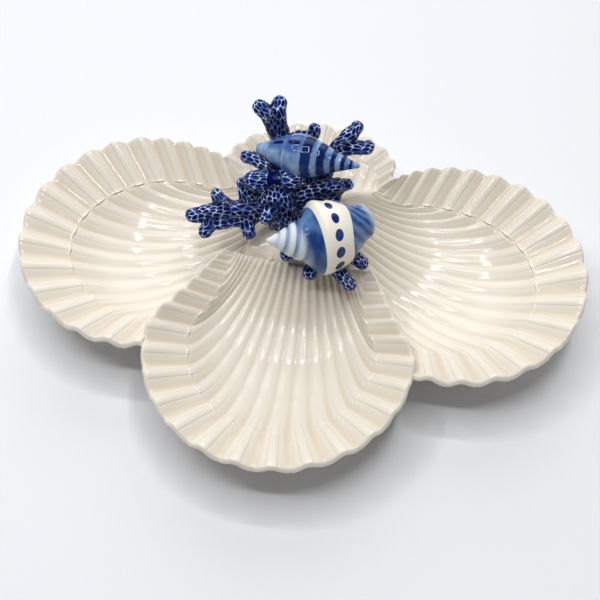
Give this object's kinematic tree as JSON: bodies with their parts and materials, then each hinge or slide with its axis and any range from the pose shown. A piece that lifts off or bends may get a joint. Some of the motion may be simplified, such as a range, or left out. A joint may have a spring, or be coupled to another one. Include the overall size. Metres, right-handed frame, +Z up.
{
  "type": "divided serving dish",
  "caption": "Scallop-shell serving dish in cream glaze: fluted bowls for separate foods meet at a hub that carries a blue coral and sea-shell handle.",
  "frame": {"origin": "on the table, at the middle of the dish's outline", "axes": "+X to the right across the side bowls, +Y from the front bowl to the short rear bowl, +Z up"},
  "size_m": [0.3598, 0.262, 0.107],
  "materials": {
    "cream_glaze": "gloss",
    "coral_glaze": "gloss",
    "spindle_glaze": "gloss",
    "whelk_glaze": "gloss"
  },
  "bodies": {
    "root": {"front_dish": "cream_glaze", "rear_dish": "cream_glaze", "left_dish": "cream_glaze", "right_dish": "cream_glaze", "centre_boss": "cream_glaze", "spindle_shell": "spindle_glaze", "whelk_shell": "whelk_glaze", "coral_trunk": "coral_glaze", "coral_rear_trunk": "coral_glaze", "coral_rear_left_tip": "coral_glaze", "coral_rear_right_tip": "coral_glaze", "coral_rear_spur": "coral_glaze", "coral_back_branch": "coral_glaze", "coral_right_rear_branch": "coral_glaze", "coral_right_rear_tip": "coral_glaze", "coral_knob": "coral_glaze", "coral_upper_left_branch": "coral_glaze", "coral_right_branch": "coral_glaze", "coral_right_small_tip": "coral_glaze", "coral_right_lower_branch": "coral_glaze", "coral_left_branch": "coral_glaze", "coral_left_fork": "coral_glaze", "coral_left_spur": "coral_glaze", "coral_left_rear_spur": "coral_glaze", "coral_left_front_spur": "coral_glaze", "coral_middle_tip": "coral_glaze", "coral_front_left_tip": "coral_glaze", "coral_front_tip": "coral_glaze", "coral_front_right_tip": "coral_glaze", "coral_far_right_tip": "coral_glaze"}
  },
  "joints": []
}
